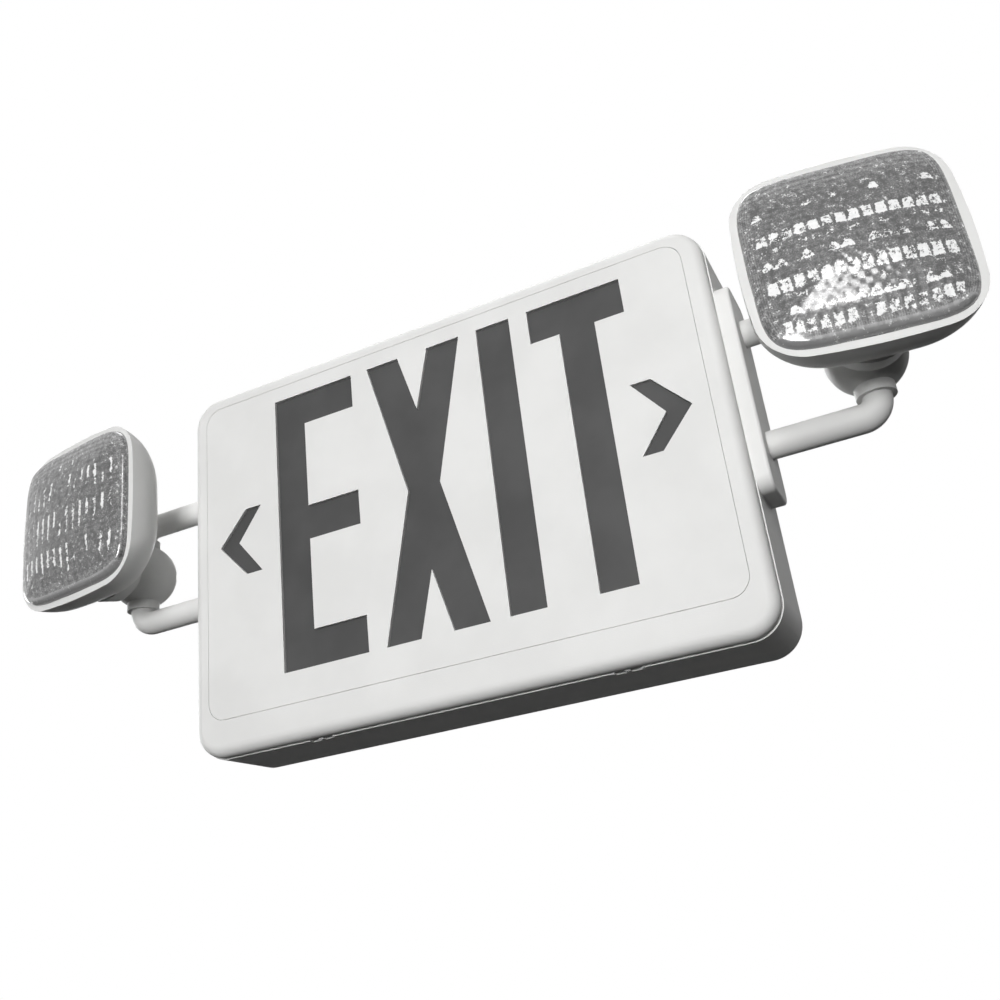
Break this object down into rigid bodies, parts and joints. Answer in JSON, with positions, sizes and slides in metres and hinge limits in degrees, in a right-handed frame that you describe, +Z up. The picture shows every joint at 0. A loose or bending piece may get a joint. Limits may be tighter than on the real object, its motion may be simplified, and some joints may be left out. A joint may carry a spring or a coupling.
{
  "type": "emergency exit light",
  "caption": "Wall-mounted exit sign with stencilled letters and chevrons, and an emergency lamp head on a ball knuckle on a bent tube at each side.",
  "frame": {"origin": "on the wall face, behind the centre of the sign box", "axes": "+X to the viewer's right, -Y out of the wall towards the viewer, +Z up"},
  "size_m": [0.5284, 0.0839, 0.206],
  "materials": {
    "white_plastic": "satin moulded thermoplastic",
    "legend_plastic": "tinted translucent panel, unlit",
    "clear_lens": "clear prismatic polycarbonate",
    "reflector_metal": "vacuum metallised plastic",
    "circuit_board": "solder-masked board",
    "led_chip": "phosphor",
    "dark_plastic": "moulded component body",
    "battery_wrap": "shrink sleeve",
    "button_plastic": "moulded",
    "lamp_plastic": "translucent indicator",
    "steel": "zinc plated"
  },
  "bodies": {
    "unit": {"back_plate": "white_plastic", "housing": "white_plastic", "front_cover": "white_plastic", "stencil_panel": "white_plastic", "legend_panel": "legend_plastic", "circuit_board": "circuit_board", "transformer": "dark_plastic", "relay": "dark_plastic", "capacitors": "dark_plastic", "sign_led_board": "circuit_board", "sign_leds": "led_chip", "battery_pack": "battery_wrap", "battery_strap": "steel", "terminal_block": "dark_plastic", "test_switch": "dark_plastic", "charge_lamp": "lamp_plastic", "board_screws": "steel", "strap_screws": "steel", "back_screws": "steel", "side_plate_right": "white_plastic", "side_plate_left": "white_plastic", "arm_tube_right": "white_plastic", "arm_tube_left": "white_plastic", "tube_nuts_right": "white_plastic", "tube_nuts_left": "white_plastic"},
    "button": {"test_button": "button_plastic"},
    "knuckle_right": {"knuckle_front_right": "white_plastic", "knuckle_back_right": "white_plastic", "knuckle_screws_right": "steel"},
    "head_right": {"head_shell_right": "white_plastic", "socket_ring_right": "white_plastic", "clamp_screw_right": "steel", "clamp_nut_right": "steel", "lens_right": "clear_lens", "reflector_right": "reflector_metal", "head_board_right": "circuit_board", "head_leds_right": "led_chip"},
    "knuckle_left": {"knuckle_front_left": "white_plastic", "knuckle_back_left": "white_plastic", "knuckle_screws_left": "steel"},
    "head_left": {"head_shell_left": "white_plastic", "socket_ring_left": "white_plastic", "clamp_screw_left": "steel", "clamp_nut_left": "steel", "lens_left": "clear_lens", "reflector_left": "reflector_metal", "head_board_left": "circuit_board", "head_leds_left": "led_chip"}
  },
  "joints": [
    {"name": "test_button_press", "type": "slide", "parent": "unit", "child": "button", "axis": [1, 0, 0], "range_m": [0, 0.0025], "stiffness_N_per_m": 400},
    {"name": "head_pan_right", "type": "hinge", "parent": "unit", "child": "knuckle_right", "pos_m": [0.209, -0.0255, 0.01825], "axis": [0, 0, 1], "range_deg": [-18, 50]},
    {"name": "head_tilt_right", "type": "hinge", "parent": "knuckle_right", "child": "head_right", "pos_m": [0.209, -0.0255, 0.01825], "axis": [0.9848, 0.1736, 0], "range_deg": [-4.5, 15.5]},
    {"name": "head_pan_left", "type": "hinge", "parent": "unit", "child": "knuckle_left", "pos_m": [-0.209, -0.0255, 0.01825], "axis": [0, 0, 1], "range_deg": [-51.5, 16.5]},
    {"name": "head_tilt_left", "type": "hinge", "parent": "knuckle_left", "child": "head_left", "pos_m": [-0.209, -0.0255, 0.01825], "axis": [0.989, -0.1478, 0], "range_deg": [-8.5, 11.5]}
  ]
}
